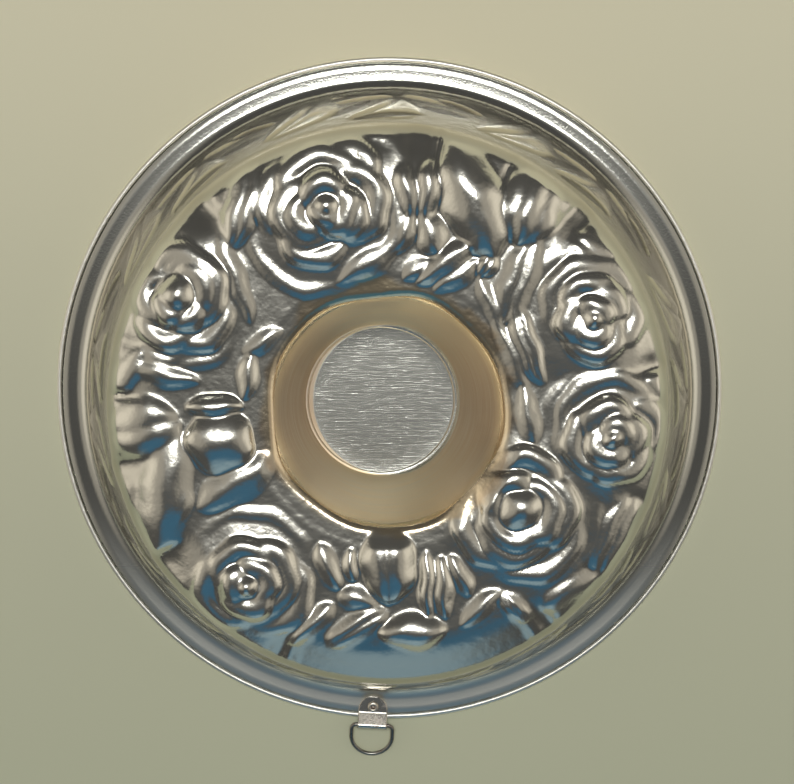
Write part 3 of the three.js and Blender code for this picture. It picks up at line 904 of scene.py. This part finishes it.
def emboss_crown(bm, sizes, relief, reach):
    """Lifts the crown of one side of the sheet, to the lowest lift within a reach, and marks its recesses for
    painted shade.
    """
    x, y, z = positions(bm)
    away = np.hypot(x, y)
    lift = crown_lift(x, y, sizes, relief)
    if reach:
        lift = np.minimum(lift, np.min(near_lifts(x, y, reach, sizes, relief), axis=0))
        recess = np.zeros_like(lift)
    else:
        # Low land and creases are marked for painted shade.
        around = np.mean(near_lifts(x, y, CREASE_REACH, sizes, relief), axis=0)
        recess = np.maximum(1 - smooth_step(lift, *LAND), np.clip((around - lift) / CREASE_DEPTH, 0, 1))
        recess *= CROWN_SHADE * crown_zone(away, sizes, SHADE_START, SHADE_END)
    on_crown = (z > CROWN_LOW) & (away > sizes.mouth_diameter / 2 / MM)
    layer = bm.verts.layers.float.new(RECESS)
    for vert, rise, depth in zip(bm.verts, np.where(on_crown, lift, 0), np.where(on_crown, recess, 0)):
        vert.co.z += rise * MM
        vert[layer] = depth


WALL_START = (0, 4)
WALL_END = (-3, 4)
WALL_INSET = 4
# Strength of the painted shade on the wall's ground between the leaves; the hollows get it in full.
WALL_SHADE = 0.5
RECESS_LOW = (3, 8)
RECESS_HIGH = (48.5, 50.5)
LEAF_RECESS = (0.12, 0.45)


def emboss_wall(bm, sizes, relief):
    """Raises the leaves on the wall of one side of the sheet, and marks the recesses between them for painted
    shade.
    """
    x, y, z = positions(bm)
    edge = crown_edge(sizes) / MM
    low, high = (sizes.brim_height + sizes.foot_round) / MM, edge.y - sizes.shoulder_round / MM
    on_wall = (z > low) & (z < high + WALL_END[1]) & (np.hypot(x, y) > edge.x - WALL_INSET)
    fade = rise_at(z, low, WALL_START) * (1 - rise_at(z, high, WALL_END))
    up = up_wall(z, sizes)
    share_up, hollow = wall_lift(np.degrees(np.arctan2(y, x)), up, sizes)
    lift = np.where(on_wall, share_up * fade * relief.wall_rise / MM, 0)
    zone = smooth_step(up, *RECESS_LOW) * (1 - smooth_step(up, *RECESS_HIGH))
    recess = np.maximum(WALL_SHADE * (1 - smooth_step(share_up, *LEAF_RECESS)), hollow)
    recess = np.where(on_wall, zone * recess, 0)
    layer = bm.verts.layers.float[RECESS]
    for vert, amount, depth in zip(bm.verts, lift, recess):
        if depth:
            vert[layer] = depth
        if amount:
            vert.co.xy *= 1 + amount * math.cos(sizes.wall_draft) * MM / vert.co.xy.length
            vert.co.z += amount * math.sin(sizes.wall_draft) * MM


# Radii where the forms at the crown's edge are looked for, and the zones over which the dips fade.
DIP_RINGS = (87, 90, 93)
DIP_LIFT = (0.3, 2.0)
DIP_CROWN = (82, 95)
DIP_WALL = (20, 46)


def dip_shoulder(bm, sizes, relief):
    """Slides the shoulder down the wall's slope between the forms that reach the edge of the crown."""
    x, y, z = positions(bm)
    away, turn = np.hypot(x, y), np.arctan2(y, x)
    lifts = [crown_lift(ring * np.cos(turn), ring * np.sin(turn), sizes, relief) for ring in DIP_RINGS]
    gap = 1 - smooth_step(np.mean(lifts, axis=0), *DIP_LIFT)
    zone = smooth_step(away, *DIP_CROWN) * smooth_step(up_wall(z, sizes), *DIP_WALL)
    for vert, dip in zip(bm.verts, gap * zone * relief.shoulder_dip):
        if dip > 0:
            vert.co.xy *= 1 + dip * math.sin(sizes.wall_draft) / vert.co.xy.length
            vert.co.z -= dip * math.cos(sizes.wall_draft)


# Waves round the tube's mouth: how many, where they start in radians, and their share of the stray.
MOUTH_WAVES = ((3, 0.6, 0.5), (5, 2.0, 0.7), (8, 4.1, 0.45))
MOUTH_REACH = 0.006


def stray_mouth(bm, sizes, relief):
    """Moves the lip of the tube in and out a little round its circle."""
    for vert in bm.verts:
        radius = vert.co.xy.length
        off = (radius - sizes.mouth_diameter / 2) / MOUTH_REACH
        if abs(off) < 1 and vert.co.z > CROWN_LOW * MM:
            turn = math.atan2(vert.co.y, vert.co.x)
            wave = sum(part * math.sin(count * turn + start) for count, start, part in MOUTH_WAVES)
            vert.co.xy *= 1 + relief.mouth_stray * wave * (1 - off * off) ** 2 / radius


def lean_tube(bm, sizes):
    """Shifts the disc sideways, and the tube's wall with it less and less up to the mouth."""
    for vert in bm.verts:
        if vert.co.xy.length < sizes.mouth_diameter / 2:
            depth = (sizes.crown_height - vert.co.z) / (sizes.crown_height - sizes.floor_height)
            vert.co.x -= sizes.floor_shift * max(depth, 0)


CAKE_SIDE_REACH = 1.2


class CAKEPAN_OT_shell(bpy.types.Operator):
    """Build the pressed sheet: crown, wall, brim, rolled rim and centre tube"""

    bl_idname = "cakepan.shell"
    bl_label = "Pressed sheet"

    def execute(self, context):
        sizes, relief = context.scene.pan_sizes, context.scene.relief_sizes
        outer = sheet_side(sizes, 1, FINE, sizes.facets, 1)
        inner = sheet_side(sizes, -1, COARSE, sizes.facets * 2 // 3, 0)
        emboss_crown(outer, sizes, relief, 0)
        emboss_crown(inner, sizes, relief, CAKE_SIDE_REACH)
        for side in (outer, inner):
            dip_shoulder(side, sizes, relief)
        emboss_wall(outer, sizes, relief)
        shell = bmesh.new()
        for side in (outer, inner):
            stray_mouth(side, sizes, relief)
            lean_tube(side, sizes)
            held = bpy.data.meshes.new("side")
            side.to_mesh(held)
            side.free()
            shell.from_mesh(held)
            bpy.data.meshes.remove(held)
        open_edges = [e for e in shell.edges if e.is_boundary]
        bmesh.ops.bridge_loops(shell, edges=open_edges)
        face_out(shell)
        for e in open_edges:
            e.smooth = False
        add_piece("pan_shell", shell, pan_finish(context.scene.finishes, sizes), "pan")
        return {"FINISHED"}


def turned(bm, sizes):
    """Puts a mesh made in the hanger's own frame in its place on the pan."""
    bmesh.ops.rotate(bm, verts=bm.verts[:], cent=(0, 0, 0), matrix=Matrix.Rotation(sizes.turn, 3, "Z"))


# Where the strap starts and ends its climb over the bead, before the bar, and where its upper layer turns up.
BEAD_CLIMB = (0.0044, 0.0033)
UPPER_TURN = 0.0022
STRAP_PITCH = 0.0004
STRAP_ROWS = 28
FOLD_STEPS = 16
STRAP_HOLE = 0.0013
HOLE_REACH = 1.5
NEARLY_ONE = 0.999
STRAP_ROUGH, STRAP_PATCH = 0.22, 260


class CAKEPAN_OT_strap(bpy.types.Operator):
    """Build the strap that is folded round the ring's bar"""

    bl_idname = "cakepan.strap"
    bl_label = "Hanger strap"

    def execute(self, context):
        sizes, finishes = context.scene.hanger_sizes, context.scene.finishes
        end, half = sizes.rivet_place - sizes.strap_overlap, sizes.strap_width / 2
        bar, hole = sizes.bar_place, Vector((sizes.rivet_place, 0))
        bm = bmesh.new()
        fold = bm.verts.new((bar, 0, sizes.bar_height - sizes.fold_radius))
        lower = [
            bm.verts.new((end, 0, sizes.lower_layer)),
            bm.verts.new((bar - BEAD_CLIMB[0], 0, sizes.lower_layer)),
            bm.verts.new((bar - BEAD_CLIMB[1], 0, sizes.over_bead)),
        ]
        join(bm, [*lower, fold])
        centre = (bar, 0, sizes.bar_height)
        spun = bmesh.ops.spin(bm, geom=[fold], cent=centre, axis=(0, -1, 0), angle=math.pi, steps=FOLD_STEPS)
        last = [v for v in spun["geom_last"] if isinstance(v, bmesh.types.BMVert)]
        upper = [
            bm.verts.new((sizes.rivet_place + UPPER_TURN, 0, sizes.upper_layer)),
            bm.verts.new((end, 0, sizes.upper_layer)),
        ]
        join(bm, last + upper)
        divide(bm, lambda middle: STRAP_PITCH)
        bmesh.ops.translate(bm, verts=bm.verts[:], vec=(0, -half, 0))
        front = bm.edges[:]
        for _ in range(STRAP_ROWS):
            front = run(bm, front, (0, 2 * half / STRAP_ROWS, 0))
        for vert in bm.verts:
            in_round = min(max((end + half - vert.co.x) / half, 0), NEARLY_ONE)
            vert.co.y *= math.sqrt(1 - in_round**2)
        holed = [f for f in bm.faces if (f.calc_center_median().xy - hole).length < STRAP_HOLE]
        bmesh.ops.delete(bm, geom=holed, context="FACES")
        for vert in bm.verts:
            off = vert.co.xy - hole
            if vert.is_boundary and off.length < STRAP_HOLE * HOLE_REACH:
                vert.co.xy = hole + off.normalized() * STRAP_HOLE
        face_out(bm)
        for vert in bm.verts:
            vert.co += vert.normal * sizes.strap_thickness / 2
        bmesh.ops.solidify(bm, geom=bm.faces[:], thickness=sizes.strap_thickness)
        face_out(bm)
        turned(bm, sizes)
        finish = plated_finish("strap_plate", finishes.plate, finishes.rust, STRAP_ROUGH, STRAP_PATCH)
        add_piece("hanger_strap", bm, finish, "pan")
        return {"FINISHED"}


# The rivet's section from its bore, in millimetres from its axis and above the table.
RIVET_OUTLINE = (
    (0.6, 0.3), (1.9, 0.3), (2.05, 0.4), (2.05, 0.6), (1.95, 0.7), (1.0, 0.7), (1.0, 3.5), (1.95, 3.5),
    (2.05, 3.6), (2.0, 3.8), (1.7, 4.02), (1.35, 4.1), (1.0, 4.05), (0.75, 3.9), (0.62, 3.7),
)
RIVET_STEPS = 48
RUSTY_BORE = 0.0009
RIVET_ROUGH, RIVET_PATCH = 0.3, 700


class CAKEPAN_OT_rivet(bpy.types.Operator):
    """Build the hollow rivet that holds the strap on the brim"""

    bl_idname = "cakepan.rivet"
    bl_label = "Hanger rivet"

    def execute(self, context):
        sizes, finishes = context.scene.hanger_sizes, context.scene.finishes
        bm = bmesh.new()
        row = [bm.verts.new((x * MM, 0, z * MM)) for x, z in RIVET_OUTLINE]
        join(bm, row + row[:1])
        spin_round(bm, RIVET_STEPS)
        face_out(bm)
        bmesh.ops.translate(bm, verts=bm.verts[:], vec=(sizes.rivet_place, 0, 0))
        turned(bm, sizes)
        axis = Matrix.Rotation(sizes.turn, 3, "Z") @ Vector((sizes.rivet_place, 0, 0))
        bore = (axis, RUSTY_BORE)
        finish = plated_finish("rivet_plate", finishes.rivet, finishes.rust, RIVET_ROUGH, RIVET_PATCH, bore)
        add_piece("hanger_rivet", bm, finish, "pan")
        return {"FINISHED"}


WIRE_SIDES = 16
BEND_STEPS = 10
BOW_STEPS = 36
WIRE_ROUGH, WIRE_PATCH = 0.25, 300


class CAKEPAN_OT_ring(bpy.types.Operator):
    """Build the D-shaped ring that hangs in the strap"""

    bl_idname = "cakepan.ring"
    bl_label = "Hanging ring"

    def execute(self, context):
        sizes, finishes = context.scene.hanger_sizes, context.scene.finishes
        straight, joint = sizes.ring_half - sizes.ring_bend, sizes.ring_joint / 2
        start = Matrix.Translation((0, joint, 0)) @ Matrix.Rotation(-math.pi / 2, 4, "X")
        bm = bmesh.new()
        bmesh.ops.create_circle(bm, segments=WIRE_SIDES, radius=sizes.wire / 2, matrix=start)
        front = run(bm, bm.edges[:], (0, straight - joint, 0))
        front = bend(bm, front, (sizes.ring_bend, straight, 0), -90, BEND_STEPS)
        front = run(bm, front, (sizes.ring_side, 0, 0))
        front = bend(bm, front, (sizes.ring_bend + sizes.ring_side, 0, 0), -180, BOW_STEPS)
        front = run(bm, front, (-sizes.ring_side, 0, 0))
        front = bend(bm, front, (sizes.ring_bend, -straight, 0), -90, BEND_STEPS)
        run(bm, front, (0, straight - joint, 0))
        bmesh.ops.edgeloop_fill(bm, edges=[e for e in bm.edges if e.is_boundary])
        face_out(bm)
        for face in bm.faces:
            face.smooth = len(face.verts) == 4
        bar = Matrix.Translation((sizes.bar_place, 0, sizes.bar_height))
        bmesh.ops.transform(bm, verts=bm.verts[:], matrix=bar @ Matrix.Rotation(sizes.ring_rest, 4, "Y"))
        turned(bm, sizes)
        finish = plated_finish("ring_wire", finishes.wire, finishes.rust, WIRE_ROUGH, WIRE_PATCH)
        add_piece("hanger_ring", bm, finish, "ring")
        return {"FINISHED"}


# Degrees from the middle of each glow at which it starts and is full.
SIDE_CONE, WALL_CONE, FILL_CONE, FRONT_CONE = (34, 6), (40, 18), (32, 16), (26, 8)
HORIZON = (0, 0.1)


def soft_room(settings):
    """A dim room with soft light from the back and the sides, and a little blue from the front."""
    world = bpy.data.worlds.new("room")
    world.use_nodes = True
    way = Wire(world.node_tree, None).node("ShaderNodeTexCoord", output="Generated")

    def glow(towards, cone):
        """1 in the middle of a glow, which fades to 0 over its cone."""
        inputs = {0: way, 1: towards.normalized()}
        facing = way.node("ShaderNodeVectorMath", {"operation": "DOT_PRODUCT"}, inputs, "Value")
        return facing.step(*(math.cos(math.radians(degrees)) for degrees in cone))

    def both_sides(right, cone):
        """The same glow from the right and from the left."""
        return glow(right, cone) + glow(right * Vector((-1, 1, 1)), cone)

    east, north, up = way.axes()
    away = reach_of(east / settings.key_wide, (north - settings.key_place) / settings.key_deep)
    blur = settings.key_blur / 2
    key = settings.key_level * (1 - away.step(1 - blur, 1 + blur))
    key = key + settings.halo_level * (1 - away.step(1, settings.halo_reach))
    key = (key * up.step(*HORIZON)).blend("MULTIPLY", settings.key)
    sides = settings.side_level * both_sides(settings.side_way, SIDE_CONE)
    sides = sides + settings.side_glow * both_sides(settings.side_glow_way, WALL_CONE)
    sides = sides.blend("MULTIPLY", settings.side)
    shade = glow(settings.fill_way, FILL_CONE).mix(settings.room, settings.fill)
    shade = glow(settings.front_way, FRONT_CONE).mix(shade, settings.front)
    feed(world.node_tree.nodes["Background"], {"Color": shade.blend("ADD", key).blend("ADD", sides)})
    return world


FLOOR_RADIUS, FLOOR_SIDES = 4, 96
# Where along y, in metres, the floor's painted shade fades from the lit back to the darker front.
FLOOR_SHADES = (-0.22, 0.22)
FLOOR_ROUGH, FLOOR_SHINE = 0.7, 0.2
SENSOR_WIDTH = 36
NEAREST, FARTHEST = 0.01, 20


class CAKEPAN_OT_stage(bpy.types.Operator):
    """Build the floor, the light and the camera"""

    bl_idname = "cakepan.stage"
    bl_label = "Stage"

    def execute(self, context):
        scene, settings = context.scene, context.scene.stage_settings
        scene.view_settings.view_transform = "Standard"
        bm = bmesh.new()
        bmesh.ops.create_circle(bm, cap_ends=True, segments=FLOOR_SIDES, radius=FLOOR_RADIUS)
        made, shader, seat = new_finish("floor_matt", 0)
        _, depth, _ = seat.axes()
        # Painted shade: the floor darkens towards the front.
        feed(shader, {"Base Color": depth.step(*FLOOR_SHADES).mix(settings.floor_front_shaded, settings.floor)})
        shader.inputs["Roughness"].default_value = FLOOR_ROUGH
        shader.inputs["Specular IOR Level"].default_value = FLOOR_SHINE
        add_object("floor", add_mesh("floor", bm, made))
        scene.world = soft_room(settings)
        data = bpy.data.cameras.new("camera")
        camera = add_object("camera", data)
        back = (settings.camera - settings.aim).normalized()
        right = Vector((0, 1, 0)).cross(back).normalized()
        turn = Matrix((right, back.cross(right), back)).transposed().to_4x4()
        camera.matrix_world = Matrix.Translation(settings.camera) @ turn
        data.sensor_width = SENSOR_WIDTH
        data.lens = settings.scale * (settings.camera - settings.aim).length * SENSOR_WIDTH / IMAGE_WIDTH
        data.clip_start, data.clip_end = NEAREST, FARTHEST
        scene.camera = camera
        return {"FINISHED"}


class CAKEPAN_PT_panel(bpy.types.Panel):
    """Lists the pieces of the pan"""

    bl_label = "Cake pan"
    bl_idname = "CAKEPAN_PT_panel"
    bl_space_type = "VIEW_3D"
    bl_region_type = "UI"
    bl_category = "Cake pan"

    def draw(self, context):
        for operator in OPERATORS:
            self.layout.operator(operator.bl_idname)


OPERATORS = (CAKEPAN_OT_shell, CAKEPAN_OT_strap, CAKEPAN_OT_rivet, CAKEPAN_OT_ring, CAKEPAN_OT_stage)
GROUPS = {
    "pan_sizes": PanSizes,
    "relief_sizes": ReliefSizes,
    "hanger_sizes": HangerSizes,
    "finishes": Finishes,
    "stage_settings": StageSettings,
}
CLASSES = (*GROUPS.values(), *OPERATORS, CAKEPAN_PT_panel)


def register():
    """Adds the classes, and their settings to the scene."""
    for added in CLASSES:
        bpy.utils.register_class(added)
    for name, group in GROUPS.items():
        setattr(bpy.types.Scene, name, PointerProperty(type=group))


def unregister():
    """Takes the classes and their settings away again."""
    for name in GROUPS:
        delattr(bpy.types.Scene, name)
    for added in reversed(CLASSES):
        bpy.utils.unregister_class(added)


def main():
    """Builds every piece and the stage."""
    register()
    bpy.ops.cakepan.shell()
    bpy.ops.cakepan.strap()
    bpy.ops.cakepan.rivet()
    bpy.ops.cakepan.ring()
    bpy.ops.cakepan.stage()


if __name__ == "__main__":
    main()
